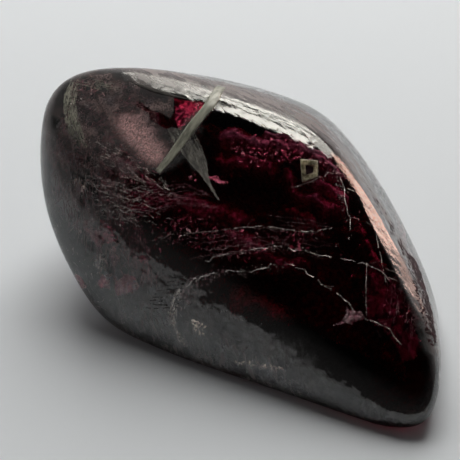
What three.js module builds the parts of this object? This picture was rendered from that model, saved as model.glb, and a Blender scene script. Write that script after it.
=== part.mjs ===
// A tumble-polished garnet: one solid lump of crystal, worn into soft flats and rounded edges.
// Millimetres, +Z up. The long way of the stone lies along X, and its broad face leans towards -Y.
// The origin is on the table plane, in the middle of the box round the stone.
import * as THREE from 'three';
import { mergeVertices } from 'three/addons/utils/BufferGeometryUtils.js';

// The worn flats. Each one faces `turn` degrees round from +X towards +Y and `lean` degrees up
// from level, and its plane passes `reach` mm from the heart of the stone.
const flats = [
  { name: 'broad face', turn: -47, lean: 57, reach: 6.5 },
  { name: 'front wall', turn: -68, lean: 20, reach: 10.0 },
  { name: 'left shoulder', turn: -127, lean: 6, reach: 25.8 },
  { name: 'left end', turn: 154, lean: 33, reach: 23.4 },
  { name: 'undercut of the left end', turn: -153, lean: -50, reach: 17.2 },
  { name: 'right end', turn: 38, lean: -7, reach: 20.6 },
  { name: 'slope above the right end', turn: 54, lean: 36, reach: 11.6 },
  { name: 'top', turn: 82, lean: 73, reach: 12.1 },
  { name: 'back', turn: 119, lean: 5, reach: 18.1 },
  { name: 'undercut of the back', turn: 99, lean: -47, reach: 14.6 },
  { name: 'underside', turn: 0, lean: -90, reach: 9.8 },
];

// How tightly one flat turns into the next: a low number gives a pebble, a high one a cut stone.
const EDGE_TIGHTNESS = 9.5;

// The underside is worn level this far below the heart, and the stone rests on that face. Round it
// the skin bends down into the level face over RIM_WEAR above and below it.
const RESTING_DEPTH = 9.2;
const RIM_WEAR = 0.4;

// The skin is a net of small cells, drawn on a block of about the stone's proportions.
const BLOCK = { x: 55, y: 35, z: 22 };
const CELL = 1.4;

// Wine red so deep that it looks black, with a wet polish.
const GARNET_COLOUR = 0x2b0410;
const GARNET_ROUGHNESS = 0.08;

function facing({ turn, lean }) {
  const around = THREE.MathUtils.degToRad(turn);
  const up = THREE.MathUtils.degToRad(lean);
  return new THREE.Vector3(
    Math.cos(around) * Math.cos(up),
    Math.sin(around) * Math.cos(up),
    Math.sin(up),
  );
}

const planes = flats.map((flat) => ({ normal: facing(flat), reach: flat.reach }));

// Distance from the heart to the skin, straight out along `direction`. With an endless tightness it
// is the nearest plane; a finite one blends neighbouring planes, which rounds the edges between them.
function skinDistance(direction) {
  let sum = 0;
  for (const { normal, reach } of planes) {
    const share = Math.max(0, direction.dot(normal)) / reach;
    sum += share ** EDGE_TIGHTNESS;
  }
  return sum ** (-1 / EDGE_TIGHTNESS);
}

// Height above the resting face of a point of the unworn lump that stands `height` above it.
function wornHeight(height) {
  if (height <= -RIM_WEAR) {
    return 0;
  }
  if (height >= RIM_WEAR) {
    return height;
  }
  return (height + RIM_WEAR) ** 2 / (4 * RIM_WEAR);
}

function stoneGeometry() {
  const cells = [BLOCK.x, BLOCK.y, BLOCK.z].map((side) => Math.round(side / CELL));
  const block = new THREE.BoxGeometry(BLOCK.x, BLOCK.y, BLOCK.z, ...cells);
  block.deleteAttribute('normal');
  block.deleteAttribute('uv');
  const skin = mergeVertices(block);
  const points = skin.getAttribute('position');
  const point = new THREE.Vector3();
  for (let i = 0; i < points.count; i += 1) {
    point.fromBufferAttribute(points, i).normalize();
    point.multiplyScalar(skinDistance(point));
    points.setXYZ(i, point.x, point.y, wornHeight(point.z + RESTING_DEPTH));
  }
  skin.computeBoundingBox();
  const middle = skin.boundingBox.getCenter(new THREE.Vector3());
  skin.translate(-middle.x, -middle.y, 0);
  skin.computeVertexNormals();
  return skin;
}

const garnetMaterial = new THREE.MeshStandardMaterial({
  color: GARNET_COLOUR,
  roughness: GARNET_ROUGHNESS,
  metalness: 0,
});

const garnet = new THREE.Mesh(stoneGeometry(), garnetMaterial);
garnet.name = 'garnet';

const stone = new THREE.Group();
stone.add(garnet);

export default stone;
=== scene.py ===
"""Looks of a tumble-polished garnet: clear wine-red crystal, with the flaws that are sealed in it."""
import math
import random

import bmesh
import bpy
from mathutils import Matrix, Vector, noise
from mathutils.bvhtree import BVHTree


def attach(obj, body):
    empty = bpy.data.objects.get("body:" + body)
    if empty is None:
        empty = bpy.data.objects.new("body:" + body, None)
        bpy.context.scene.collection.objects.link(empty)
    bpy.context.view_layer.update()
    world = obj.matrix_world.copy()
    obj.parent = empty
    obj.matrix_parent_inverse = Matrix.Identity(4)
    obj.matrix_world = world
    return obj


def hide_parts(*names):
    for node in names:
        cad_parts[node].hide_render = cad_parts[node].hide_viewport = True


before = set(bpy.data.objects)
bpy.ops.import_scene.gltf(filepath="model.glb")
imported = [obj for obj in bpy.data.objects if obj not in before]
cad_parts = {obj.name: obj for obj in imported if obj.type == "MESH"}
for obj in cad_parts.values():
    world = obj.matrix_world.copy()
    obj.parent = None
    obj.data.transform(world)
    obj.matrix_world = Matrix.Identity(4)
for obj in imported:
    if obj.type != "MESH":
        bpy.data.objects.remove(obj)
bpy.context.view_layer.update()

MM = 0.001

# --- camera and light ---
# Turns are degrees round from -Y towards +X, and lifts are degrees up from level.
CAMERA_TURN = 50.5
CAMERA_LIFT = 32.9
CAMERA_TARGET = Vector((-2.8, -2.28, 8.63)) * MM
CAMERA_DISTANCE = 130.0 * MM
CAMERA_VIEW = 22.0
CAMERA_NEAR = 0.005

# Each panel has a turn, a lift, a width and a height in metres, and a radiance.
PANEL_DISTANCE = 0.7
WINDOW_PANES = (
    (212.6, 64.5, 0.130, 0.160, 9.5),
    (213.0, 49.5, 0.192, 0.110, 8.5),
    (213.0, 36.5, 0.238, 0.110, 7.0),
    (231.0, 62.0, 0.070, 0.130, 4.2),
    (231.0, 48.0, 0.100, 0.110, 3.4),
    (231.5, 35.0, 0.135, 0.110, 3.0),
    (194.5, 47.5, 0.107, 0.310, 3.8),
)
COPPER_PANEL = (183, 25, 0.130, 0.48, 5.8)
FRONT_CARD = (350, 1.4, 0.65, 0.036, 0.36)
DAYLIGHT = (229, 47, 0.56, 0.56, 5.4)
WARM_WHITE = (1.0, 0.97, 0.88)
COPPER = (1.0, 0.62, 0.50)
NEAR_WHITE = (1.0, 0.99, 0.96)

# Brightness of the studio round the stone, from the horizon (0) to straight up (1), and its tint.
SKY = ((0.0, 0.62), (0.35, 0.40), (0.65, 0.04), (0.85, 0.008))
SKY_TINT = (1.0, 0.94, 0.93)

# The studio is brightest towards the turn BRIGHT_SIDE, and darkest opposite to it. It changes
# between the two cosines of the angle from BRIGHT_SIDE.
BRIGHT_SIDE = 240.0
DARK_COSINE, BRIGHT_COSINE = -0.4, 0.5
DARKEST, BRIGHTEST = 0.13, 1.2

FLOOR_HALF = 0.9
FLOOR_LEVEL = -0.00002
FLOOR_COLOUR = (0.79, 0.82, 0.85, 1)
FLOOR_ROUGHNESS = 0.9
FLOOR_SPECULAR = 0.2


def look_from(turn, lift):
    """Unit vector from the stone towards a place at `turn` and `lift` degrees."""
    turn, lift = math.radians(turn), math.radians(lift)
    return Vector((math.sin(turn) * math.cos(lift), -math.cos(turn) * math.cos(lift), math.sin(lift)))


def add_camera():
    data = bpy.data.cameras.new("camera")
    data.angle = math.radians(CAMERA_VIEW)
    data.clip_start = CAMERA_NEAR
    camera = bpy.data.objects.new("camera", data)
    back = look_from(CAMERA_TURN, CAMERA_LIFT)
    camera.location = CAMERA_TARGET + back * CAMERA_DISTANCE
    camera.rotation_euler = back.to_track_quat("Z", "Y").to_euler()
    bpy.context.collection.objects.link(camera)
    bpy.context.scene.camera = camera


def add_panel(name, place, colour, on_floor=True, in_polish=True):
    """A soft light panel that faces the stone. It lights the floor, shows in the polish, or both."""
    turn, lift, width, height, radiance = place
    data = bpy.data.lights.new(name, "AREA")
    data.shape = "RECTANGLE"
    data.size = width
    data.size_y = height
    data.energy = radiance * math.pi * width * height
    data.color = colour
    panel = bpy.data.objects.new(name, data)
    away = look_from(turn, lift)
    panel.location = away * PANEL_DISTANCE
    panel.rotation_euler = away.to_track_quat("Z", "Y").to_euler()
    panel.visible_camera = False
    panel.visible_diffuse = on_floor
    panel.visible_glossy = in_polish
    bpy.context.collection.objects.link(panel)


def add_lights():
    for number, place in enumerate(WINDOW_PANES, start=1):
        add_panel(f"window_pane_{number}", place, WARM_WHITE, on_floor=False)
    add_panel("copper_panel", COPPER_PANEL, COPPER, on_floor=False)
    add_panel("front_card", FRONT_CARD, (1, 1, 1), on_floor=False)
    add_panel("daylight", DAYLIGHT, NEAR_WHITE, in_polish=False)


def add_world():
    world = bpy.data.worlds.new("studio")
    bpy.context.scene.world = world
    world.use_nodes = True
    tree = world.node_tree
    tree.nodes.clear()
    where = node(tree, "ShaderNodeTexCoord").outputs["Generated"]
    split = node(tree, "ShaderNodeSeparateXYZ", {0: where})
    ramp = node(tree, "ShaderNodeValToRGB", {0: split.outputs["Z"]})
    stops = ramp.color_ramp.elements
    for height, _ in SKY[1:-1]:
        stops.new(height)
    for stop, (height, level) in zip(stops, SKY):
        stop.position = height
        stop.color = (*(level * part for part in SKY_TINT), 1)
    brightest = look_from(BRIGHT_SIDE, 0)
    towards = node(tree, "ShaderNodeVectorMath", {0: where, 1: brightest}, operation="DOT_PRODUCT")
    strength = remap(towards.outputs["Value"], DARK_COSINE, BRIGHT_COSINE, DARKEST, BRIGHTEST)
    back = node(tree, "ShaderNodeBackground", {"Color": ramp.outputs[0], "Strength": strength})
    node(tree, "ShaderNodeOutputWorld", {0: back.outputs[0]})


def add_floor():
    mesh = bpy.data.meshes.new("floor")
    corners = [(x * FLOOR_HALF, y * FLOOR_HALF, FLOOR_LEVEL) for x, y in ((-1, -1), (1, -1), (1, 1), (-1, 1))]
    mesh.from_pydata(corners, [], [(0, 1, 2, 3)])
    floor = bpy.data.objects.new("floor", mesh)
    bpy.context.collection.objects.link(floor)
    material, _, bsdf = new_material("floor")
    bsdf.inputs["Base Color"].default_value = FLOOR_COLOUR
    bsdf.inputs["Roughness"].default_value = FLOOR_ROUGHNESS
    bsdf.inputs["Specular IOR Level"].default_value = FLOOR_SPECULAR
    mesh.materials.append(material)


# --- the stone ---
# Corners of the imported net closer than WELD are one, and two triangles that meet flatter than
# PAIR_ANGLE make one square cell. The net is halved FINER times, then relaxed.
WELD = 0.001 * MM
PAIR_ANGLE = math.radians(60)
FINER = 2
RELAX_SHARE = 0.5
RELAX_ROUNDS = 20

# A narrow flat worn along the ridge at the right, mm.
BEVEL_FACING = (0.530, 0.305, 0.791)
BEVEL_REACH = 18.68
BEVEL_SOFTNESS = 0.05


def square_cells():
    """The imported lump's net, with its triangles joined back into square cells."""
    mesh = bpy.data.meshes.new("stone")
    bm = bmesh.new()
    bm.from_mesh(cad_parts["garnet"].data)
    bmesh.ops.remove_doubles(bm, verts=bm.verts, dist=WELD)
    bmesh.ops.join_triangles(bm, faces=bm.faces, angle_face_threshold=PAIR_ANGLE,
                             angle_shape_threshold=PAIR_ANGLE)
    bm.to_mesh(mesh)
    bm.free()
    return mesh


def wear_bevel(mesh):
    """Wear the narrow flat, with a soft edge where it meets the rest of the skin."""
    facing = Vector(BEVEL_FACING).normalized()
    for vertex in mesh.vertices:
        over = vertex.co.dot(facing) / MM - BEVEL_REACH
        if over > -BEVEL_SOFTNESS:
            soft = (over + BEVEL_SOFTNESS) ** 2 / (4 * BEVEL_SOFTNESS)
            cut = over if over > BEVEL_SOFTNESS else soft
            vertex.co -= facing * cut * MM


def add_stone():
    """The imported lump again, with a fine, smooth skin in place of its coarse net."""
    stone = bpy.data.objects.new("stone", square_cells())
    bpy.context.collection.objects.link(stone)
    finer = stone.modifiers.new("finer", "SUBSURF")
    finer.levels = FINER
    relaxed = stone.modifiers.new("relaxed", "SMOOTH")
    relaxed.factor = RELAX_SHARE
    relaxed.iterations = RELAX_ROUNDS
    depsgraph = bpy.context.evaluated_depsgraph_get()
    smooth = bpy.data.meshes.new_from_object(stone.evaluated_get(depsgraph))
    stone.modifiers.clear()
    stone.data = smooth
    wear_bevel(smooth)
    smooth.shade_smooth()
    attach(stone, "root")
    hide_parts("garnet")
    return stone


# --- shader helpers ---
def node(tree, kind, inputs=None, **settings):
    """A new shader node, with `inputs` linked where they are sockets and set where they are values."""
    made = tree.nodes.new(kind)
    for key, value in settings.items():
        setattr(made, key, value)
    for key, value in (inputs or {}).items():
        if isinstance(value, bpy.types.NodeSocket):
            tree.links.new(value, made.inputs[key])
        else:
            made.inputs[key].default_value = value
    return made


def new_material(name):
    material = bpy.data.materials.new(name)
    material.use_nodes = True
    tree = material.node_tree
    return material, tree, tree.nodes["Principled BSDF"]


def in_mm(tree):
    """Object coordinates in millimetres."""
    where = node(tree, "ShaderNodeTexCoord").outputs["Object"]
    return node(tree, "ShaderNodeVectorMath", {0: where, "Scale": 1 / MM}, operation="SCALE").outputs[0]


# The helpers below find the node tree from a socket that they are given, as its id_data.
def grain(where, scale, detail, roughness, along=None, stretch=1.0):
    """Noise of `scale` grains a millimetre, each drawn out `stretch` times in the direction `along`."""
    tree = where.id_data
    if along:
        turned = node(tree, "ShaderNodeMapping", {"Vector": where}, vector_type="TEXTURE")
        turned.inputs["Rotation"].default_value = Vector(along).to_track_quat("Z", "Y").to_euler()
        turned.inputs["Scale"].default_value = (1, 1, stretch)
        where = turned.outputs[0]
    look = {"Vector": where, "Scale": scale, "Detail": detail, "Roughness": roughness}
    return node(tree, "ShaderNodeTexNoise", look).outputs["Fac"]


def remap(value, low, high, to_low=0.0, to_high=1.0):
    """`value` eased from the range `low` to `high` onto the range `to_low` to `to_high`."""
    ranges = {"Value": value, "From Min": low, "From Max": high, "To Min": to_low, "To Max": to_high}
    made = node(value.id_data, "ShaderNodeMapRange", ranges, interpolation_type="SMOOTHSTEP")
    return made.outputs["Result"]


def combine(operation, first, *others):
    """The maths operation run over all the values, from left to right."""
    for other in others:
        first = node(first.id_data, "ShaderNodeMath", {0: first, 1: other}, operation=operation).outputs[0]
    return first


def product(*values):
    return combine("MULTIPLY", *values)


def largest(*values):
    return combine("MAXIMUM", *values)


def opposite(value):
    return node(value.id_data, "ShaderNodeMath", {0: 1.0, 1: value}, operation="SUBTRACT").outputs[0]


def blend_colours(factor, first, second):
    """From the colour `first` at factor 0 to the colour `second` at 1."""
    first, second = ((*colour, 1) if isinstance(colour, tuple) else colour for colour in (first, second))
    colours = {"Factor": factor, 6: first, 7: second}
    return node(factor.id_data, "ShaderNodeMix", colours, data_type="RGBA").outputs[2]


def near_line(where, start, end, inner, outer):
    """1 within `inner` mm of the line from start to end, falling to 0 at `outer` mm."""

    def vector(operation, inputs, output=0):
        return node(where.id_data, "ShaderNodeVectorMath", inputs, operation=operation).outputs[output]

    along = end - start
    from_start = vector("SUBTRACT", {0: where, 1: start})
    share = vector("DOT_PRODUCT", {0: from_start, 1: along / along.length ** 2}, "Value")
    held = node(where.id_data, "ShaderNodeClamp", {0: share}).outputs[0]
    foot = vector("SCALE", {0: along, "Scale": held})
    return remap(vector("DISTANCE", {0: from_start, 1: foot}, "Value"), outer, inner)


def near_path(where, skin, path, inner, outer):
    """1 within `inner` mm of a path given by plan positions on the skin, falling to 0 at `outer` mm."""
    spots = [skin.under(x, y, 0)[0] for x, y in path]
    return largest(*(near_line(where, *ends, inner, outer) for ends in zip(spots, spots[1:])))


# --- the garnet's material ---
GARNET_IOR = 1.78
GARNET_TINT = (0.78, 0.16, 0.42, 1)
GARNET_DENSITY = 1150  # per metre

# The way the ridge runs, and with it the fine lines of its wear.
RIDGE = (0.94, 0.08, -0.34)

# Grains of the skin: scale, detail and roughness, then the way and how far each is drawn out.
GRAINS = {
    "clouds": (0.45, 4, 0.55),
    "streaks": (2.2, 4, 0.7, (0.5, -0.2, -0.8), 4.0),
    "needles": (7.0, 3, 0.75, (0.3, -0.9, -0.3), 1.6),
    "wear": (1.1, 4, 0.65, RIDGE, 7.0),
    "chips": (0.55, 4, 0.7, RIDGE, 3.0),
    "warmth": (0.5, 1, 0.55),
    "lines": (1.6, 3, 0.6, RIDGE, 12.0),
    "peel": (0.35, 2, 0.5),
    "sand": (3.0, 3, 0.6, RIDGE, 2.5),
}

# Places on the skin: a path in plan positions, the mm from it within which the place is full, and
# the mm at which it ends.
PLACES = {
    # Silk at the left end and down its side, with a pink glow and the veil under the fan of fibres.
    "silk": ([(-17, -9), (-12, -7)], 2.5, 7),
    "side": ([(-18, -13.5), (-12.5, -15.3)], 1, 6),
    "glow": ([(-12.8, -8.2), (-8.6, -8)], 0.2, 2.8),
    "veil": ([(-8.6, -4.7), (-4.6, -5.1)], 0.2, 1.1),
    # Clear windows in the silk: a crimson one behind the vein, a maroon lens, and a faint wine one.
    "crimson_top": ([(-11.4, -1.6), (-10.2, -2.6)], 1.1, 1.25),
    "crimson_foot": ([(-10.3, -2.8), (-9.5, -4.2)], 0.7, 0.85),
    "maroon_tip": ([(-13.9, -6), (-11.5, -5.4)], 0.25, 0.35),
    "maroon_lens": ([(-11.6, -5.5), (-10.1, -5)], 0.6, 0.75),
    "wine": ([(-11.6, -10.6), (-8.8, -10), (-7, -9.4)], 0.2, 1.5),
    # The hazy front wall, and the rind: a worn band along the back of the ridge.
    "wall": ([(-2, -15.5), (14, -9.5)], 2, 6),
    "rind": ([(-17, -2.6), (-8.4, 5.6), (2.4, 9.3), (12.1, 8.2), (17.4, 5.9), (23, 3.4)], 1.4, 3.6),
    # The ridge's crest, and the narrow flat at its right.
    "crest": ([(-15.9, -4.3), (-8.3, 0.8), (-3.3, 3.7), (1.1, 5.6), (5.3, 6.2), (11.7, 5.6), (17.1, 3.6),
               (23.2, 1.6)], 1, 2.4),
    "bevel": ([(6.5, 6.1), (11.7, 5.6), (16.5, 4.2)], 1.2, 3),
}

WINE_CLEARNESS = 0.8
VEIL_STRENGTH = 0.35

# Colours of the milky silk: where it is cool and warm, in the glow, in the veil and on the rind.
CLEAR = (1.0, 1.0, 1.0)
COOL_SILK = (0.20, 0.165, 0.17)
WARM_SILK = (0.34, 0.255, 0.245)
GLOW = (1.0, 0.62, 0.60)
VEIL = (0.30, 0.28, 0.25)
RIND = (0.25, 0.18, 0.17)

# Heights of the relief, mm: lines away from the ridge and on it, scratches, orange peel and sand.
LINES_AWAY, LINES_ON_RIDGE = 0.008, 0.03
SCRATCHES = 0.005
PEEL = 0.10
SAND = 0.007


def silk_share(grains, places):
    """How milky the silk makes the skin, with its clear windows left open."""
    windows = largest(places["crimson_top"], places["crimson_foot"], places["maroon_tip"],
                      places["maroon_lens"], product(places["wine"], WINE_CLEARNESS))
    scratched = product(places["side"], remap(grains["streaks"], 0.38, 0.62, 0.08, 0.7))
    patchy = product(largest(places["silk"], scratched), remap(grains["clouds"], 0.40, 0.58, 0.15, 1.0))
    lit = largest(patchy, product(places["veil"], VEIL_STRENGTH), places["glow"])
    return product(lit, opposite(windows), remap(grains["needles"], 0.38, 0.60, 0.15, 0.95))


def milky_share(grains, places):
    """How milky the skin is: the silk, streaks on the front wall, and the rind between its chips."""
    streaky = product(places["wall"], remap(grains["streaks"], 0.42, 0.7, 0.0, 0.34))
    worn = product(places["rind"], remap(grains["chips"], 0.34, 0.44),
                   remap(grains["wear"], 0.3, 0.7, 0.15, 0.6))
    return largest(silk_share(grains, places), streaky, worn)


def skin_colour(grains, places, milky):
    colour = blend_colours(remap(grains["warmth"], 0.4, 0.6), COOL_SILK, WARM_SILK)
    for place, tint in (("glow", GLOW), ("veil", VEIL), ("rind", RIND)):
        colour = blend_colours(places[place], colour, tint)
    return blend_colours(remap(milky, 0.0, 0.25), CLEAR, colour)


def skin_relief(grains, places):
    """Hair-fine lines along the ridge, scratched walls, and a faint orange peel everywhere."""
    ridge = largest(places["crest"], places["bevel"])
    lined = product(grains["lines"], remap(ridge, 0.0, 1.0, LINES_AWAY, LINES_ON_RIDGE))
    etched = product(largest(places["wall"], places["side"]), grains["streaks"], SCRATCHES)
    peel = product(grains["peel"], PEEL)
    sandy = product(grains["sand"], combine("ADD", places["crest"], places["bevel"]), SAND)
    height = combine("ADD", lined, etched, peel, sandy)
    bumps = {"Height": height, "Strength": 1.0, "Distance": MM}
    return node(height.id_data, "ShaderNodeBump", bumps).outputs[0]


def skin_roughness(grains, places):
    """A wet polish, matt on the rind and hazy on the walls."""
    polish = remap(grains["lines"], 0.4, 0.75, 0.015, 0.08)
    matt = product(places["rind"], remap(grains["wear"], 0.3, 0.7, 0.12, 0.42))
    haze = remap(grains["streaks"], 0.42, 0.58, 0.02, 0.28)
    return largest(polish, matt, product(largest(places["wall"], places["side"]), haze))


def garnet_material(skin):
    material, tree, bsdf = new_material("garnet")
    where = in_mm(tree)
    grains = {name: grain(where, *look) for name, look in GRAINS.items()}
    places = {name: near_path(where, skin, *place) for name, place in PLACES.items()}
    milky = milky_share(grains, places)
    for name, value in (("Transmission Weight", opposite(milky)),
                        ("Base Color", skin_colour(grains, places, milky)),
                        ("Normal", skin_relief(grains, places)),
                        ("Roughness", skin_roughness(grains, places))):
        tree.links.new(value, bsdf.inputs[name])
    bsdf.inputs["IOR"].default_value = GARNET_IOR
    absorb = node(tree, "ShaderNodeVolumeAbsorption", {"Color": GARNET_TINT, "Density": GARNET_DENSITY})
    tree.links.new(absorb.outputs[0], tree.nodes["Material Output"].inputs["Volume"])
    return material


# --- the flaws' materials ---
MOTTLE_DETAIL, MOTTLE_ROUGHNESS = 4, 0.65
MOTTLE_LOW, MOTTLE_HIGH = 0.35, 0.65
MOTTLE_STRENGTH = 0.6
MOTTLE_HEIGHT = 0.1 * MM
# Low gloss of the rim chips, part of the painted shade that dims the rim's reflection.
CHIP_SHADE_SPECULAR = 0.1


def flaw_material(name, dark, light, roughness, metallic, scale, along=None, stretch=1.0):
    """A flaw's surface: two colours mottled by a grain, with the same grain in its relief."""
    material, tree, bsdf = new_material(name)
    mottle = grain(in_mm(tree), scale, MOTTLE_DETAIL, MOTTLE_ROUGHNESS, along, stretch)
    colour = blend_colours(remap(mottle, MOTTLE_LOW, MOTTLE_HIGH), dark, light)
    tree.links.new(colour, bsdf.inputs["Base Color"])
    bumps = {"Height": mottle, "Strength": MOTTLE_STRENGTH, "Distance": MOTTLE_HEIGHT}
    relief = node(tree, "ShaderNodeBump", bumps)
    tree.links.new(relief.outputs[0], bsdf.inputs["Normal"])
    bsdf.inputs["Roughness"].default_value = roughness
    bsdf.inputs["Metallic"].default_value = metallic
    return material


def mirror_material():
    """Crack faces that glint like foil."""
    return flaw_material("crack_mirror", (0.45, 0.36, 0.34), (1.0, 0.92, 0.80), 0.35, 1.0, scale=2.5)


def heart_material():
    return flaw_material("crack_heart", (0.25, 0.22, 0.22), (1.0, 0.97, 0.97), 0.5, 0.25, scale=1.8)


def wine_material():
    return flaw_material("wine_field", (0.04, 0.035, 0.036), (0.36, 0.34, 0.36), 0.5, 0.15, scale=1.6,
                         along=(0.5, -0.7, -0.5), stretch=3.0)


def edge_material():
    """Pale broken edges of cracks."""
    return flaw_material("crack_edge", (0.45, 0.40, 0.37), (1.0, 0.95, 0.90), 0.4, 0.35, scale=4.0)


def vein_material():
    """Greenish mineral, striped along the vein."""
    return flaw_material("vein", (0.20, 0.20, 0.16), (0.46, 0.45, 0.36), 0.22, 0.0, scale=3.0,
                         along=(0.33, -0.88, -0.37), stretch=12.0)


def fibre_material():
    return flaw_material("fibre", (0.07, 0.065, 0.06), (0.25, 0.235, 0.20), 0.4, 0.0, scale=4.0,
                         along=(0.75, -0.1, -0.6), stretch=10.0)


def silk_material():
    return flaw_material("silk", (0.35, 0.25, 0.24), (0.9, 0.7, 0.66), 0.4, 0.5, scale=1.5)


def crystal_material():
    return flaw_material("square_crystal", (0.16, 0.14, 0.08), (0.72, 0.66, 0.44), 0.25, 0.0, scale=1.6)


def gap_material():
    """Open cracks, nearly black."""
    return flaw_material("gap", (0.004, 0.004, 0.004), (0.03, 0.025, 0.02), 0.7, 0.0, scale=2.0)


def chip_and_shade_material():
    """Dull dark chips, with hardly any gloss: chips, and painted shade that dims the rim's reflection."""
    material = flaw_material("rim_chip_and_shade", (0.010, 0.004, 0.005), (0.07, 0.022, 0.028), 0.6, 0.0, scale=2.0,
                             along=RIDGE, stretch=3.0)
    bsdf = material.node_tree.nodes["Principled BSDF"]
    bsdf.inputs["Specular IOR Level"].default_value = CHIP_SHADE_SPECULAR
    return material


# --- placing flaws ---
# The ways in which the views' u and v run.
RIGHTWARDS, LEFTWARDS, BACKWARDS, UPWARDS = (1, 0, 0), (-1, 0, 0), (0, 1, 0), (0, 0, 1)

# Rays at the skin start this far out, mm. From above, the stone is widest at the height WAIST.
RAY_START = 60
WAIST = 6.0

# Seeds lie SEED_STEP apart in the noise. Each octave of it is NOISE_STEP times finer than the last
# one, and NOISE_STEP ** NOISE_FADE times fainter.
SEED_STEP = 17.3
NOISE_FADE, NOISE_STEP, OCTAVES = 0.7, 2.0, 4

# Noise scales per mm along a crack: of its depth, its twist, its width and its gaps.
DEPTH_WAVE, TWIST_WAVE, WIDTH_WAVE, GAP_WAVE = 0.5, 1.8, 1.7, 1.1
THREAD_KNOT = 0.55
THREAD_PARTS = 4
THINNEST, THICKER = 0.25, 1.2

WHISKER_STEP = 0.3
WHISKER_TURN = (12, 50)
WHISKER_SINK = (0.02, 0.5)
WHISKER_WIDTH = 0.45

# A film's cells are shaken by JITTER of their size, and its edges and holes wander on these scales.
JITTER = 0.3
JITTER_X, JITTER_Y = 7.1, 5.3
EDGE_WAVE, HOLE_WAVE = 0.8, 0.6
SHALLOWEST_FILM = 0.15

# How far and on what scale the heart's rises wander, and the coarse and fine crumpling of its crack.
RISE_WANDER, RISE_WAVE = 0.8, 0.45
CRUMPLE_WAVE, FINE_WAVE = 0.9, 3.5
FINE_SHARE = 0.15
HEART_DEPTH, HEART_RELIEF, SHALLOWEST_HEART = 6.0, 0.35, 0.2

FLAKE_CORNERS = 6
FLAKE_ASPECT = (0.12, 0.6)
CORNER_SHAKE = (-0.3, 0.3)
CORNER_REACH = (0.6, 1.0)

# Needles come in patches on a scale of PATCH_WAVE, with edges that thin out over PATCH_EDGE.
PATCHINESS = 0.4
PATCH_WAVE = 0.45
PATCH_EDGE = (0, 0.4)
NEEDLE_SLOPE = (0.8, 1.2)
NEEDLE_WIDTHS = (0.5, 1.2)
NEEDLE_ROLL = 30

# Where the threads of a bundle lie, start, stop and sink, as shares of what the bundle is given.
BUNDLE_STEP = 0.5
BUNDLE_SHAKE = (-0.4, 0.4)
BUNDLE_START = (0, 0.4)
BUNDLE_STOP = (0.6, 1.0)
BUNDLE_DEPTHS = (0.5, 1.6)

# The square crystal's face stands proud, mm, and its other parts lie this far under the face.
CRYSTAL_TOP = -0.02
LIP, CORE, HOLE, FOOT = 0.05, 0.45, 0.5, 0.8
CORE_SIZE = 0.45

# A slab's pace along its line, mm, the scale on which it sways, and its ripples across and along.
SLAB_STEP = 0.25
SLAB_WAVE = 1.5
ACROSS_WAVE, ALONG_WAVE = 3.1, 0.03


class Skin:
    """The stone's skin as seen from one side: u and v are millimetres across and up that view."""

    def __init__(self, stone, across, up):
        mesh = stone.data
        corners = [vertex.co for vertex in mesh.vertices]
        self.tree = BVHTree.FromPolygons(corners, [face.vertices[:] for face in mesh.polygons])
        self.across, self.up = Vector(across), Vector(up)
        self.towards = self.across.cross(self.up)

    def under(self, u, v, depth):
        """The point `depth` mm under the skin at u, v, and the skin's outward normal.

        Past the stone's outline it is the skin nearest to the point at the stone's waist.
        """
        spot = self.across * u + self.up * v
        hit, normal, _, _ = self.tree.ray_cast((spot + self.towards * RAY_START) * MM, -self.towards)
        if hit is None:
            waist = Vector((0, 0, WAIST * self.towards.z))
            hit, normal, _, _ = self.tree.find_nearest((spot + waist) * MM)
        return hit / MM - normal * depth, normal


class Net:
    """A mesh under construction, in millimetres."""

    def __init__(self):
        self.points = []
        self.faces = []

    def add(self, point):
        self.points.append(Vector(point) * MM)
        return len(self.points) - 1

    def finish(self, name, material):
        mesh = bpy.data.meshes.new(name)
        mesh.from_pydata(self.points, [], self.faces)
        mesh.materials.append(material)
        mesh.shade_smooth()
        piece = bpy.data.objects.new(name, mesh)
        bpy.context.collection.objects.link(piece)
        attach(piece, "root")


def curve_through(points, step):
    """Points about `step` mm apart on a smooth curve through `points`."""
    points = [Vector(p) for p in points]
    ends = [points[0] * 2 - points[1], *points, points[-1] * 2 - points[-2]]
    made = []
    for before, start, end, after in zip(ends, ends[1:], ends[2:], ends[3:]):
        pieces = max(1, math.ceil((end - start).length / step))
        for i in range(pieces):
            t = i / pieces
            bend = 2 * before - 5 * start + 4 * end - after
            twist = 3 * start - before - 3 * end + after
            made.append(0.5 * (2 * start + (end - before) * t + bend * t * t + twist * t ** 3))
    made.append(points[-1])
    return made


def wobble(x, y, scale, seed):
    """Smooth noise from about -1 to 1 over the plan."""
    return noise.fractal(Vector((x * scale, y * scale, seed * SEED_STEP)), NOISE_FADE, NOISE_STEP, OCTAVES)


def extent(outline):
    """The lowest and highest x of the outline, then its lowest and highest y."""
    xs, ys = zip(*outline)
    return min(xs), max(xs), min(ys), max(ys)


def inside(x, y, outline):
    """Whether x, y is inside the polygon `outline`."""
    crossings = 0
    for (ax, ay), (bx, by) in zip(outline, outline[1:] + outline[:1]):
        if (ay > y) != (by > y) and x < (bx - ax) * (y - ay) / (by - ay) + ax:
            crossings += 1
    return crossings % 2 == 1


def jagged(points, kink, seed):
    """The curve through `points` with a kink every half millimetre or so, as a brittle crack runs."""
    dice = random.Random(seed)
    knots = []
    for point in curve_through(points, THREAD_KNOT):
        knots.append(point + Vector((dice.gauss(0, kink), dice.gauss(0, kink))))
    line = []
    for start, end in zip(knots, knots[1:]):
        line.extend(start.lerp(end, k / THREAD_PARTS) for k in range(THREAD_PARTS))
    return [*line, knots[-1]]


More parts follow.
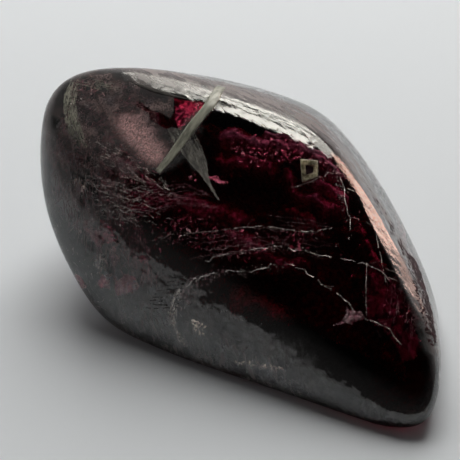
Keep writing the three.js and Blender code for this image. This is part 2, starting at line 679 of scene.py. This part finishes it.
def add_thread(net, skin, points, depth, width, kink=0.07, gaps=0.25, roll=60, seed=0):
    """A hair-thin crack edge: a ribbon along the line that twists and breaks off here and there."""
    line = jagged(points, kink, seed)
    spots = [skin.under(u, v, depth * (1 + 0.5 * wobble(u, v, DEPTH_WAVE, seed + 1))) for u, v in line]
    last = None
    for i, (u, v) in enumerate(line):
        centre, normal = spots[i]
        ahead = spots[min(i + 1, len(line) - 1)][0] - spots[max(i - 1, 0)][0]
        across = normal.cross(ahead).normalized()
        turn = math.radians(roll * wobble(u, v, TWIST_WAVE, seed + 2))
        across = across * math.cos(turn) + normal * math.sin(turn)
        half = 0.5 * width * (THINNEST + THICKER * abs(wobble(u, v, WIDTH_WAVE, seed + 3)))
        ends = (net.add(centre - across * half), net.add(centre + across * half))
        if last and wobble(u, v, GAP_WAVE, seed + 4) > gaps * 2 - 1:
            net.faces.append((last[0], ends[0], ends[1], last[1]))
        last = ends


def add_crack(net, skin, points, depth, width, whiskers=5, reach=(0.4, 1.6), seed=0, **more):
    """A crack edge with short whiskers that branch off it and sink away."""
    add_thread(net, skin, points, depth, width, seed=seed, **more)
    dice = random.Random(seed)
    line = curve_through(points, WHISKER_STEP)
    for k in range(whiskers):
        i = dice.randrange(1, len(line) - 1)
        ahead = (line[i + 1] - line[i - 1]).normalized()
        turn = math.radians(dice.choice((-1, 1)) * dice.uniform(*WHISKER_TURN))
        out = Vector((ahead.x * math.cos(turn) - ahead.y * math.sin(turn),
                      ahead.x * math.sin(turn) + ahead.y * math.cos(turn))) * dice.uniform(*reach)
        add_thread(net, skin, [line[i], line[i] + out * 0.5, line[i] + out],
                   depth + dice.uniform(*WHISKER_SINK), width * WHISKER_WIDTH, kink=0.03, gaps=0.4,
                   seed=seed + k + 1)


def add_cracks(net, skin, lines, *look, **more):
    """A crack along each of the lines, which are given with their seeds."""
    for line, seed in lines:
        add_crack(net, skin, line, *look, seed=seed, **more)


def add_cells(net, columns, rows, corner, wanted):
    """The square cells that are wanted, between the corners that `corner` makes once each."""
    made = {}

    def corner_at(i, j):
        if (i, j) not in made:
            made[i, j] = net.add(corner(i, j))
        return made[i, j]

    for i in range(columns):
        for j in range(rows):
            if wanted(i + 0.5, j + 0.5):
                net.faces.append((corner_at(i, j), corner_at(i + 1, j), corner_at(i + 1, j + 1),
                                  corner_at(i, j + 1)))


def add_film(net, skin, outline, depth, relief=0.3, holes=0.3, fall=(0, 0), ragged=0.5, cell=0.2,
             grain_size=0.7, seed=0):
    """A crumpled crack inside the outline, `depth` mm down, deepening by `fall` mm per mm in x and y."""
    west, east, south, north = extent(outline)
    middle = (sum(x for x, _ in outline) / len(outline), sum(y for _, y in outline) / len(outline))

    def corner(i, j):
        x = west - ragged + i * cell + JITTER * cell * wobble(i, j, JITTER_X, seed)
        y = south - ragged + j * cell + JITTER * cell * wobble(i, j, JITTER_Y, seed + 1)
        down = depth + fall[0] * (x - middle[0]) + fall[1] * (y - middle[1])
        down += relief * wobble(x, y, grain_size, seed + 2)
        return skin.under(x, y, max(down, SHALLOWEST_FILM))[0]

    def wanted(i, j):
        x = west - ragged + i * cell
        y = south - ragged + j * cell
        moved_x = x + ragged * wobble(x, y, EDGE_WAVE, seed + 3)
        moved_y = y + ragged * wobble(x, y, EDGE_WAVE, seed + 4)
        return inside(moved_x, moved_y, outline) and wobble(x, y, HOLE_WAVE, seed + 5) > holes * 2 - 1

    columns = math.ceil((east - west + 2 * ragged) / cell)
    rows = math.ceil((north - south + 2 * ragged) / cell)
    add_cells(net, columns, rows, corner, wanted)


def add_heart(net, skin, outline, rises, cell, seed):
    """The crumpled crack that fills the stone's heart, HEART_DEPTH mm down but for its rises.

    Each rise is (start, end, radius, depth): along the line from start to end the crack comes up to
    `depth`, and it sinks away over `radius` on both sides.
    """
    west, east, south, north = extent(outline)

    def depth_at(x, y):
        depth = HEART_DEPTH
        warped = Vector((x + RISE_WANDER * wobble(x, y, RISE_WAVE, seed + 5),
                         y + RISE_WANDER * wobble(x, y, RISE_WAVE, seed + 6)))
        for start, end, radius, top in rises:
            start, along = Vector(start), Vector(end) - Vector(start)
            share = max(0.0, min(1.0, (warped - start).dot(along) / max(along.length_squared, 0.001)))
            near = max(0.0, 1.0 - (warped - start - along * share).length / radius)
            depth = min(depth, HEART_DEPTH - (HEART_DEPTH - top) * near * near * (3 - 2 * near))
        coarse = HEART_RELIEF * wobble(x, y, CRUMPLE_WAVE, seed)
        fine = FINE_SHARE * HEART_RELIEF * wobble(x, y, FINE_WAVE, seed + 1)
        return depth + coarse + fine

    def corner(i, j):
        x, y = west + i * cell, south + j * cell
        return skin.under(x, y, max(depth_at(x, y), SHALLOWEST_HEART))[0]

    def wanted(i, j):
        return inside(west + i * cell, south + j * cell, outline)

    add_cells(net, math.ceil((east - west) / cell), math.ceil((north - south) / cell), corner, wanted)


def add_flakes(net, skin, outline, count, size, depths, tilt, seed):
    """Small ragged flakes scattered inside the outline, lying nearly along the skin."""
    dice = random.Random(seed)
    west, east, south, north = extent(outline)
    while count:
        x, y = dice.uniform(west, east), dice.uniform(south, north)
        if not inside(x, y, outline):
            continue
        count -= 1
        centre, normal = skin.under(x, y, dice.uniform(*depths))
        angle = math.radians(dice.gauss(0, tilt))
        lean = Matrix.Rotation(angle, 3, Vector((dice.gauss(0, 1), dice.gauss(0, 1), 0.1)))
        facing = (lean @ normal).to_track_quat("Z", "Y").to_matrix()
        reach = dice.uniform(*size)
        long_way = dice.uniform(*FLAKE_ASPECT)
        spin = dice.uniform(0, math.tau)
        ring = []
        for k in range(FLAKE_CORNERS):
            turn = math.tau * k / FLAKE_CORNERS + dice.uniform(*CORNER_SHAKE)
            out = reach * dice.uniform(*CORNER_REACH)
            flat = Vector((math.cos(turn) * out, math.sin(turn) * out * long_way, 0))
            ring.append(net.add(centre + facing @ (Matrix.Rotation(spin, 3, "Z") @ flat)))
        net.faces.append(tuple(ring))


def add_needles(net, skin, outline, count, length, width, depths, heading, seed, spread=12):
    """Straight fine needles inside the outline, most of them heading the same way."""
    dice = random.Random(seed)
    west, east, south, north = extent(outline)
    while count:
        x, y = dice.uniform(west, east), dice.uniform(south, north)
        if not inside(x, y, outline):
            continue
        if wobble(x, y, PATCH_WAVE, seed) < PATCHINESS * 2 - 1 - dice.uniform(*PATCH_EDGE):
            continue
        count -= 1
        turn = math.radians(dice.gauss(heading, spread))
        half = Vector((math.cos(turn), math.sin(turn))) * dice.uniform(*length) / 2
        depth = dice.uniform(*depths)
        start, normal = skin.under(x - half.x, y - half.y, depth)
        end, _ = skin.under(x + half.x, y + half.y, depth * dice.uniform(*NEEDLE_SLOPE))
        across = (end - start).cross(normal).normalized() * width * dice.uniform(*NEEDLE_WIDTHS) / 2
        roll = math.radians(dice.gauss(0, NEEDLE_ROLL))
        across = across * math.cos(roll) + normal * across.length * math.sin(roll)
        corners = (start - across, end - across, end + across, start + across)
        net.faces.append(tuple(net.add(corner) for corner in corners))


def add_slab(net, skin, points, widths, top, bottom, strands=6, ripple=0.01, edge=0.04, seed=0):
    """A closed wall of another mineral along the line, from `top` to `bottom` mm under the skin.

    `widths` are its widths from end to end, and a negative top stands proud of the skin.
    """
    line = curve_through(points, SLAB_STEP)
    rows = []
    for i, here in enumerate(line):
        share = i / (len(line) - 1) * (len(widths) - 1)
        k = min(int(share), len(widths) - 2)
        width = widths[k] + (widths[k + 1] - widths[k]) * (share - k)
        ahead = line[min(i + 1, len(line) - 1)] - line[max(i - 1, 0)]
        side = Vector((-ahead.y, ahead.x)).normalized()
        row = []
        for s in range(strands + 1):
            sway = edge * wobble(here.x, here.y, SLAB_WAVE, seed + 1)
            x, y = here + side * ((s / strands - 0.5) * width + sway)
            down = top + ripple * (1 + wobble(s * ACROSS_WAVE, i * ALONG_WAVE, 1.0, seed))
            row.append(net.add(skin.under(x, y, down)[0]))
        for s in (strands, 0):
            x, y = here + side * (s / strands - 0.5) * width
            row.append(net.add(skin.under(x, y, bottom)[0]))
        rows.append(row)
    around = strands + 3
    for first, second in zip(rows, rows[1:]):
        for s in range(around):
            n = (s + 1) % around
            net.faces.append((first[s], first[n], second[n], second[s]))
    net.faces.append(tuple(reversed(rows[0])))
    net.faces.append(tuple(rows[-1]))


def add_bundle(net, skin, first, second, count, depth, width, seed, **more):
    """Threads side by side from one guide line to the other, each with a random start and end."""
    dice = random.Random(seed)
    for k in range(count):
        share = (k + dice.uniform(*BUNDLE_SHAKE)) / (count - 1)
        guide = [Vector(a).lerp(Vector(b), share) for a, b in zip(first, second)]
        line = curve_through(guide, BUNDLE_STEP)
        begin = int(dice.uniform(*BUNDLE_START) * len(line))
        stop = int(dice.uniform(*BUNDLE_STOP) * len(line))
        part = line[begin:max(stop, begin + 3)]
        add_thread(net, skin, part, depth * dice.uniform(*BUNDLE_DEPTHS), width, seed=seed + 7 * k, **more)


# --- the flaws ---
# Outlines and lines are in millimetres: across and along the plan, or across and up a side view.
def add_wine_field(skin):
    """The wine-red field at the nose, cut off straight by a crack."""
    net = Net()
    outline = [(14.6, 1.2), (16.2, -0.4), (17.9, -1.9), (20.4, -1.3), (21.8, -1.3), (22.9, -1.7),
               (23.6, -0.9), (23.5, 0.9), (22.4, 2.4), (19, 4), (15.6, 3.4)]
    add_film(net, skin, outline, 2, relief=0.4, holes=0.05, ragged=0.2, cell=0.16, grain_size=0.9, seed=4)
    net.finish("wine_field", wine_material())


def add_crack_heart(skin, back):
    """The crumpled crack in the stone's heart, which shows red where it rises."""
    net = Net()
    outline = [(-17, -8), (-13, -3), (-9, 1), (0, 6), (7, 7.5), (17, 5.5), (23.5, 2.5), (24.5, -1.5),
               (18, -5), (10, -9.5), (2, -13), (-5, -15.5), (-12, -15.5)]
    rises = (
        ((-10.5, -3), (-9.4, -3.8), 1.2, 1.9),
        ((-13.8, -5.9), (-10.2, -5), 1.6, 1.5),
        ((-5.2, -0.8), (0, 3), 2.8, 0.9),
        ((0.5, 4), (6, 5.8), 2.6, 0.7),
        ((-2.5, 3), (4, 6.2), 1.5, 0.6),
        ((-3.6, -2.6), (0.5, 0.8), 1.8, 1.7),
        ((2.6, 1.2), (6, 1.3), 2, 1.6),
        ((-12.5, -11.5), (-6.5, -9.8), 2.4, 1.2),
        ((5, 3), (8, 4.4), 2.6, 1.3),
        ((5.4, 1.2), (8.4, 2.6), 2.2, 1.4),
        ((10, 3.8), (15.5, 4.3), 1.8, 2.1),
        ((-7.5, -12.8), (-2.5, -8), 2.6, 1.6),
        ((-2.5, -8), (2.5, -5), 2.2, 1.7),
        ((2.3, -7.3), (6, -5.2), 2, 1.3),
        ((6.6, -5.9), (9.6, -3.3), 1.8, 1.7),
        ((5, -1), (8.5, 0.3), 1.6, 2.3),
        ((6.2, -10.2), (11.5, -8), 1.4, 2.7),
    )
    add_heart(net, skin, outline, rises, cell=0.16, seed=3)
    outline = [(-24, 3), (-22, 8.5), (-12, 12.5), (0, 17), (12, 18.5), (20, 16), (23, 9), (18, 4),
               (0, 2), (-18, 2)]
    rises = (
        ((-20.5, 6), (-13.5, 7), 2.6, 1.5),
        ((-12.5, 9), (-7, 7.5), 2.2, 1.8),
        ((-1, 9), (4.5, 13), 2.8, 1.6),
        ((5, 9.5), (9.5, 8), 2.2, 1.9),
        ((14, 8), (18, 8.5), 2.4, 1.8),
    )
    add_heart(net, back, outline, rises, cell=0.22, seed=9)
    net.finish("crack_heart", heart_material())


def add_flashes(bright, skin):
    """The crimson window beside the vein, the magenta flash, and glints in the red."""
    slope = (-0.1, 0.12)
    add_film(bright, skin, [(-12.4, -2.2), (-10, 0.2), (-9, -1.2), (-8.9, -4.4), (-10.3, -4)], 1.6,
        relief=0.16, holes=0, fall=slope, ragged=0.1, cell=0.14, grain_size=1.4, seed=5)
    add_film(bright, skin,
        [(-3.1, -5.3), (-2.7, -4.6), (-1.7, -4.2), (-1, -3.9), (-1.5, -4.5), (-2.4, -5.1)], 0.9,
        relief=0.10, holes=0.1, fall=slope, ragged=0.15, cell=0.1, grain_size=1.8, seed=90)
    for outline, *look in (
            ([(-4.6, -6), (-3.9, -5.5), (-3.4, -6.2), (-4.2, -6.8)], 12, (0.1, 0.3), (0.5, 0.9), 14, 96),
            ([(-6.4, -1.2), (-0.2, 3.9), (6.7, 5.8), (2.6, 3.2), (-1.2, -2.1)],
             260, (0.05, 0.3), (0.6, 1.5), 14, 91),
            ([(-3.8, -12.7), (-2.4, -9.6), (4.6, -4.8), (9.9, 1), (9, -3), (5, -8.5)],
             340, (0.05, 0.36), (0.3, 1.8), 30, 92),
            ([(-13, -14.5), (-6.5, -9), (0, -6.5), (2, -9), (-3, -13.5)],
             200, (0.05, 0.3), (0.4, 2), 30, 93),
            ([(8, 4.5), (15, 5), (23, 2.5), (24.5, -0.5), (16, -1.5), (9, 0.5)],
             90, (0.05, 0.25), (0.4, 2.6), 35, 94)):
        add_flakes(bright, skin, outline, *look)


def add_wall_films(bright, front):
    """Small red crack faces behind the front wall."""
    for outline, depth, seed in (
            ([(-6.1, 6.4), (-3.8, 7.4), (-3.2, 6), (-5.2, 4.3)], 0.8, 150),
            ([(-4.5, 9.7), (-3.2, 9.9), (-3.3, 8.8), (-4.2, 8.9)], 0.8, 151),
            ([(-7.1, 9.6), (-6.8, 9.6), (-6.2, 7.4), (-6.5, 7.4)], 0.5, 152),
            ([(-8.8, 10), (-8.4, 10.1), (-8.1, 9.2), (-8.4, 9.1)], 0.7, 153),
            ([(-12, 4), (-10.4, 5), (-9.8, 3.6), (-11, 2.8)], 0.9, 154),
            ([(-11.5, 11), (-8.5, 12), (-7, 10.2), (-9, 8.8)], 1.1, 155),
            ([(-8, 6.4), (-6.8, 6.8), (-6.2, 5), (-7.6, 4.4)], 0.9, 156)):
        add_film(bright, front, outline, depth, cell=0.12, grain_size=2.4, seed=seed)


def add_face_cracks(edges, skin):
    """The cracks of the broad face, proud of the silk that would hide them."""
    proud = -0.006
    add_crack(edges, skin, [(2.7, -10.2), (4.7, -7.5), (7.6, -4), (10.7, -1.6), (14.9, 1.4), (17, 1.9)],
        proud, 0.13, kink=0.10, gaps=0.38, whiskers=9, seed=11)
    add_crack(edges, skin,
        [(1.6, -12.2), (2.5, -11.4), (6.8, -7.6), (9.5, -4.3), (11.8, -3.5), (15.8, -2.6), (16.9, -2.7)],
        proud, 0.14, kink=0.10, gaps=0.38, whiskers=9, seed=12)
    add_crack(edges, skin, [(17.9, -2.3), (19.1, -1.6), (20.4, -1.1), (22, -1.2)], proud, 0.09, seed=13)
    add_crack(edges, skin, [(-3.3, -12.7), (0.3, -9.5), (4.7, -4.2), (7.8, -1.7), (9.6, 0.8)], 0.01, 0.11,
        gaps=0.3, whiskers=7, seed=14)
    add_thread(edges, skin, [(14.5, 1.3), (16.2, -0.4), (17.9, -1.9)], proud, 0.08, kink=0.02, gaps=0.2,
        seed=15)
    add_crack(edges, skin, [(2.9, -11), (1.8, -11.9), (1.5, -12.9), (1.9, -13.4)], 0.15, 0.15, gaps=0.3,
        whiskers=3, reach=(0.3, 0.8), seed=16)
    add_crack(edges, skin, [(4, 0.4), (4.9, 2.4), (5.2, 3.3), (5.9, 5.2)], 0.06, 0.14, gaps=0, whiskers=3,
        seed=17)
    add_crack(edges, skin, [(5.9, 5.2), (7.6, 4.5), (9.2, 3.4), (10.6, 2.6), (11.6, 1.3)], proud, 0.13,
        whiskers=7, seed=18)


def add_face_bundles(edges, skin):
    """Bundles of hairlines in the broad face, and the torn film where its cracks meet."""
    add_bundle(edges, skin, [(-9.5, -14), (-7.8, -11.9), (-6.5, -10.2), (-5.1, -7.9), (-2, -6.4)],
        [(-7, -14), (-4.6, -11.7), (-2.8, -9), (0, -6.6), (1.4, -4.4)], 16, 0.3, 0.06, seed=30)
    add_bundle(edges, skin, [(-3.5, -12.5), (0.6, -9.1), (3.9, -5.2), (7.7, -1.7)],
        [(0.4, -11.7), (3.6, -8.9), (6.2, -5.8), (8.7, -2.5)], 10, 0.25, 0.06, seed=50)
    add_bundle(edges, skin, [(4, -3), (7, -0.5), (9.6, 1.6)], [(6.4, -4.6), (9, -1.8), (12, 0.6)], 7, 0.3,
        0.05, seed=52)
    add_bundle(edges, skin, [(15.8, 3.4), (17.6, 1.2), (19.6, -1.2)],
        [(20.4, 3.4), (21.6, 1.2), (23.2, -1.2)], 10, 0.3, 0.04, seed=53, gaps=0.4)
    add_film(edges, skin, [(16.4, -4.9), (16.5, -3.4), (15.9, -2.8), (17.9, -1.9), (17.6, -3)], 0.25,
        relief=0.35, holes=0.2, ragged=0.3, cell=0.1, grain_size=2.2, seed=95)
    add_flakes(edges, skin,
        [(1.9, -13.2), (1.6, -12.2), (2.7, -10.9), (5.4, -8.7), (5.2, -9.3), (3, -11.9)], 90, (0.06, 0.25),
        (0.05, 0.4), 25, seed=94)


def add_wall_gaps(wall_gaps, front):
    """A ladder of short dark cracks at the left of the front wall."""
    rungs, rise, drift = 9, 0.42, 0.12
    for k in range(rungs):
        low = 4.6 + rise * k
        line = [(-1.6 + drift * k, low), (0.2, low + 0.5), (1.7, low + 1.1)]
        add_thread(wall_gaps, front, line, -0.01, 0.14, kink=0.04, gaps=0.4, roll=0, seed=120 + k)


def add_wall_flaws(edges, bright, front):
    """The long lip down the front wall, its glints, and the grains, needles and cracks beside it."""
    lip = [(1, 7.7), (1.5, 7.7), (1.7, 4.4), (3.9, 2), (3.2, 2), (0.8, 4.4)]
    add_crack(edges, front, [(1.3, 7.7), (1, 5.8), (1.5, 4.3), (2.4, 2.9), (3.6, 2)], -0.006, 0.20,
        gaps=0.35, whiskers=6, reach=(0.3, 0.9), seed=130)
    for net, outline, *look in (
            (bright, [(3.5, 5), (5, 4.9), (5.2, 3.6), (4.2, 3.6)], 30, (0.1, 0.3), (-0.02, -0.005), 4, 131),
            (edges, lip, 80, (0.06, 0.22), (-0.02, 0), 4, 137),
            (bright, lip, 30, (0.05, 0.18), (-0.03, -0.01), 6, 138),
            (bright, [(9, 2), (9.2, 2.6), (13.8, 3.3), (13.6, 2.8)],
             34, (0.1, 0.3), (-0.02, -0.005), 4, 132),
            (edges, [(-9, 8.4), (-7.6, 8.9), (-6.9, 7.1), (-8.2, 6.7)],
             60, (0.08, 0.25), (-0.008, 0.04), 8, 133),
            (edges, [(-15.5, 3), (-15, 12), (-3, 12.5), (3, 2), (-6, 1.5)],
             200, (0.03, 0.13), (-0.008, 0.03), 8, 134),
            (edges, [(-8.3, 13.8), (-6, 13.8), (-5.4, 12.2), (-7, 12.2)],
             80, (0.04, 0.16), (-0.008, 0.04), 10, 135)):
        add_flakes(net, front, outline, *look)
    add_needles(edges, front, [(-15, 3), (-15, 14), (-6, 14), (3, 8), (5, 2), (-8, 2)], 170, (0.2, 0.9),
        0.04, (0.02, 0.3), -60, spread=30, seed=136)
    add_cracks(edges, front,
        (([(-12.4, 10.2), (-10, 12.5), (-8.2, 13.6), (-6, 15.2)], 140),
         ([(-13, 9), (-11, 11.2), (-8.4, 12.6), (-5.6, 13.9)], 141),
         ([(-12, 13.4), (-9.6, 14.2), (-7, 15.6)], 142)),
        0.1, 0.09, gaps=0.4, whiskers=6)


def add_left_end_fibres(edges, bright, skin):
    """Fibres and grains that run in from the left end."""
    add_bundle(edges, skin, [(-15, -15), (-10.1, -12.8), (-6, -10.4), (-3.2, -9.6)],
        [(-12, -15.6), (-7.6, -13.8), (-3.4, -12), (-0.6, -10.6)], 14, -0.004, 0.07, seed=170, gaps=0.45)
    add_bundle(edges, skin, [(-16.5, -12), (-12.2, -10.6), (-8.2, -9.4), (-4, -8.4)],
        [(-14.6, -14.2), (-10.6, -12.2), (-6.6, -10.6), (-3.4, -9.4)], 12, -0.004, 0.06, seed=171, gaps=0.5)
    add_flakes(edges, skin, [(-21, -11), (-17, -8), (-9, -9.5), (-3, -8.5), (-6, -13.8), (-16, -16)], 260,
        (0.04, 0.16), (-0.008, 0.02), 8, seed=172)
    add_flakes(bright, skin, [(-13.5, -15), (-12.2, -14.4), (-11.8, -15), (-13, -15.5)], 16, (0.1, 0.35),
        (0, 0.1), 14, seed=173)
    add_flakes(bright, skin, [(-11.4, -8.8), (-9.8, -7.4), (-7.7, -7.4), (-8, -9)], 120, (0.04, 0.16),
        (-0.005, 0.05), 14, seed=174)


def add_back_flaws(edges, back):
    """The same kinds of flaw through the back."""
    add_cracks(edges, back,
        (([(-22, 7), (-15, 10.5), (-8, 9), (0, 12.5), (7, 11)], 160),
         ([(-16, 3), (-10, 6.5), (-3, 5.5), (5, 8.5)], 161),
         ([(6, 14.5), (10, 10), (13.5, 9), (19, 5.5)], 162),
         ([(-4, 3), (0, 7.5), (1.5, 12), (5.5, 16)], 163)),
        0.05, 0.10, gaps=0.3, whiskers=10)
    add_bundle(edges, back, [(-20, 4), (-12, 6), (-5, 4)], [(-19, 7.5), (-12, 9), (-4, 8)], 12, 0.2, 0.07,
        seed=164)
    add_flakes(edges, back, [(-24, 2), (-20, 10), (0, 17), (20, 16), (24, 8), (10, 1.5)], 220, (0.04, 0.18),
        (0.03, 0.5), 25, seed=165)


def add_ridge_hairlines(edges, skin):
    """Fine scratches across the narrow flat of the ridge."""
    for line, seed in (
            ([(6.8, 4), (8.6, 5.6), (9.4, 7.2)], 180),
            ([(10.4, 3.2), (12.2, 4.6), (12.8, 6.4)], 181),
            ([(12.6, 2.6), (14.6, 4.4), (15.6, 6)], 182),
            ([(16, 2.4), (17.6, 3.6), (19.8, 4.4)], 183),
            ([(8.8, 6.2), (11.7, 4.6), (14.6, 3), (17, 1.6)], 184)):
        add_thread(edges, skin, line, -0.006, 0.06, kink=0.04, gaps=0.35, seed=seed)


def add_crack_grains(edges, skin):
    """Bright grains strung along the cracks."""
    for outline, count, seed in (
            ([(2.6, -10.6), (7.5, -4.4), (10.9, -2), (10.5, -1.3), (7, -3.8)], 110, 97),
            ([(1.6, -12.5), (6.9, -8), (9.8, -4.7), (9.4, -4), (6.4, -7.4)], 100, 98),
            ([(4.2, 0.3), (6.2, 5), (10.6, 2.9), (10.2, 2.2), (6, 4.2)], 70, 99),
            ([(-9.3, -7.8), (-7.6, -4.2), (-6.2, -4.4), (-7, -8.6)], 40, 100)):
        add_flakes(edges, skin, outline, count, (0.03, 0.12), (-0.005, 0.15), 25, seed)


def add_silk(skin):
    """Fine needles in three directions at the left end, and one way down its side."""
    net = Net()
    for heading, seed in ((-35, 60), (25, 61), (80, 62)):
        add_needles(net, skin, [(-22, -9), (-17, -5.5), (-13, -4.5), (-7, -8.5), (-8.5, -13), (-17, -15.5)],
            700, (0.2, 0.9), 0.05, (0.05, 0.8), heading, seed=seed)
    add_needles(net, skin, [(-18, -14.5), (-8, -12), (-1, -13.5), (-8, -16.3), (-16, -16.8)], 700, (0.2, 1),
        0.05, (0.05, 0.9), -20, spread=40, seed=63)
    net.finish("silk", silk_material())


def add_square_crystal(skin, gap):
    """A small crystal flat at the skin: a square frame round a dark core."""
    net, core = Net(), Net()
    outer = [Vector(corner) for corner in ((2.4, 3), (3.7, 4.3), (5, 3.2), (4.3, 1.6))]
    middle = sum(outer, Vector((0, 0))) / len(outer)
    inner = [middle + (corner - middle) * CORE_SIZE for corner in outer]

    def ring(made, corners, sink):
        return [made.add(skin.under(x, y, CRYSTAL_TOP + sink)[0]) for x, y in corners]

    top, lip = ring(net, outer, 0), ring(net, inner, LIP)
    foot, hole = ring(net, outer, FOOT), ring(net, inner, HOLE)
    for k in range(4):
        n = (k + 1) % 4
        net.faces.append((top[k], top[n], lip[n], lip[k]))
        net.faces.append((top[n], top[k], foot[k], foot[n]))
        net.faces.append((lip[k], lip[n], hole[n], hole[k]))
    net.faces.append(tuple(foot))
    core.faces.append(tuple(ring(core, inner, CORE)))
    net.finish("square_crystal", crystal_material())
    core.finish("square_core", gap)


def add_vein(skin):
    """The straight vein that cuts the ridge, and the curved one at the left corner."""
    net = Net()
    add_slab(net, skin, [(-11.1, 3.4), (-9.2, 0.7), (-8.5, -0.9), (-7.9, -3.7), (-7.3, -6.2), (-6.9, -8.8)],
        (1, 1.15, 1.1, 0.95, 0.6), -0.02, 0.9, ripple=0.004, edge=0.015)
    add_bundle(net, skin, [(-21.2, -8.4), (-19.2, -10.6), (-16.8, -11.8), (-13.8, -12.8)],
        [(-22, -9.4), (-20.4, -11.4), (-18, -12.8), (-14.6, -13.6)], 20, -0.006, 0.10, seed=74, kink=0.02,
        gaps=0.3, roll=8)
    add_bundle(net, skin, [(-21.4, -8.9), (-19.2, -7.4), (-16.6, -5.4)],
        [(-21, -9.6), (-18.4, -8.2), (-15.8, -6.4)], 10, -0.006, 0.07, seed=75, kink=0.02, gaps=0.4, roll=8)
    net.finish("vein", vein_material())


def add_open_gaps(skin, gap):
    """The open crack at the left of the ridge, and the fine ones that follow its crest."""
    net = Net()
    add_slab(net, skin, [(-16.9, -5), (-15.6, -4.5), (-14.6, -4), (-13, -3.1), (-10.6, -1.5)],
        (0.05, 0.35, 0.55, 0.3, 0.05), -0.012, 0.3, strands=3, ripple=0, seed=2)
    crest = ((-7.8, 0.7), (-5.4, 2.3), (-3.3, 3.4), (-1, 4.5), (1.5, 5.4))
    back = (-0.5, 0.85)
    for shift, seed in ((0.1, 20), (0.55, 21), (0.9, 22)):
        path = [(x + back[0] * shift, y + back[1] * shift) for x, y in crest]
        add_thread(net, skin, path, -0.012, 0.09, kink=0.05, gaps=0.42, roll=0, seed=seed)
    net.finish("open_gaps", gap)


def add_rim_chips_and_shade(skin):
    """Dark chips broken out of the rim at the right, down to the nose, also painted shade that darkens the
    rim's reflection.
    """
    net = Net()
    # Painted shade: dark, nearly glossless flakes that darken the rim's reflection, as well as chips.
    for outline, *look in (
            ([(13.5, 8.4), (15.2, 7.6), (17.2, 6.4), (19.4, 5), (21.3, 3.7), (23.2, 2.4), (22.4, 3.7),
              (20.2, 5.5), (17.8, 7.4), (15.3, 9.2), (13.1, 10.6)],
             460, (0.2, 0.7), (-0.014, -0.006), 2, 190),
            ([(12.4, 7.9), (14.6, 6.6), (17.4, 4.9), (20.2, 3.2), (23.6, 1.4), (23.4, 2.5), (19.4, 5.3),
              (15.2, 7.9), (12.6, 9.2)],
             300, (0.1, 0.45), (-0.014, -0.006), 2, 192),
            ([(6.5, 8.6), (10.5, 7.2), (13.5, 6.2), (13.8, 8.4), (10.5, 9.6), (7, 9.4)],
             40, (0.15, 0.6), (-0.02, -0.008), 2, 191)):
        add_flakes(net, skin, outline, *look)
    net.finish("rim_chips_and_shade", chip_and_shade_material())


def add_fibre_veil(skin):
    """A fan of fibres that hangs from the vein and closes to a point."""
    net = Net()
    add_bundle(net, skin, [(-9.8, -5.6), (-6, -5.8), (-2.9, -5.7), (0.1, -6)],
        [(-8.1, -3.3), (-4.9, -4.1), (-2.3, -5.4), (0.2, -5.9)], 44, -0.01, 0.09, seed=70, kink=0.02,
        gaps=0.2, roll=6)
    net.finish("fibre_veil", fibre_material())


def add_flaws(skin, front, back):
    """All the flaws, placed from above, from the front and from behind."""
    add_wine_field(skin)
    add_crack_heart(skin, back)
    edges, bright, wall_gaps = Net(), Net(), Net()
    add_flashes(bright, skin)
    add_wall_films(bright, front)
    add_face_cracks(edges, skin)
    add_face_bundles(edges, skin)
    add_wall_gaps(wall_gaps, front)
    add_wall_flaws(edges, bright, front)
    add_left_end_fibres(edges, bright, skin)
    add_back_flaws(edges, back)
    add_ridge_hairlines(edges, skin)
    add_crack_grains(edges, skin)
    edges.finish("crack_edges", edge_material())
    bright.finish("bright_flakes", mirror_material())
    gap = gap_material()
    add_silk(skin)
    add_square_crystal(skin, gap)
    add_vein(skin)
    add_open_gaps(skin, gap)
    wall_gaps.finish("wall_gaps", gap)
    add_rim_chips_and_shade(skin)
    add_fibre_veil(skin)


add_camera()
add_world()
add_floor()
add_lights()
stone = add_stone()
skin = Skin(stone, RIGHTWARDS, BACKWARDS)
stone.data.materials.append(garnet_material(skin))
add_flaws(skin, Skin(stone, RIGHTWARDS, UPWARDS), Skin(stone, LEFTWARDS, UPWARDS))

bpy.context.scene.view_settings.view_transform = "Standard"
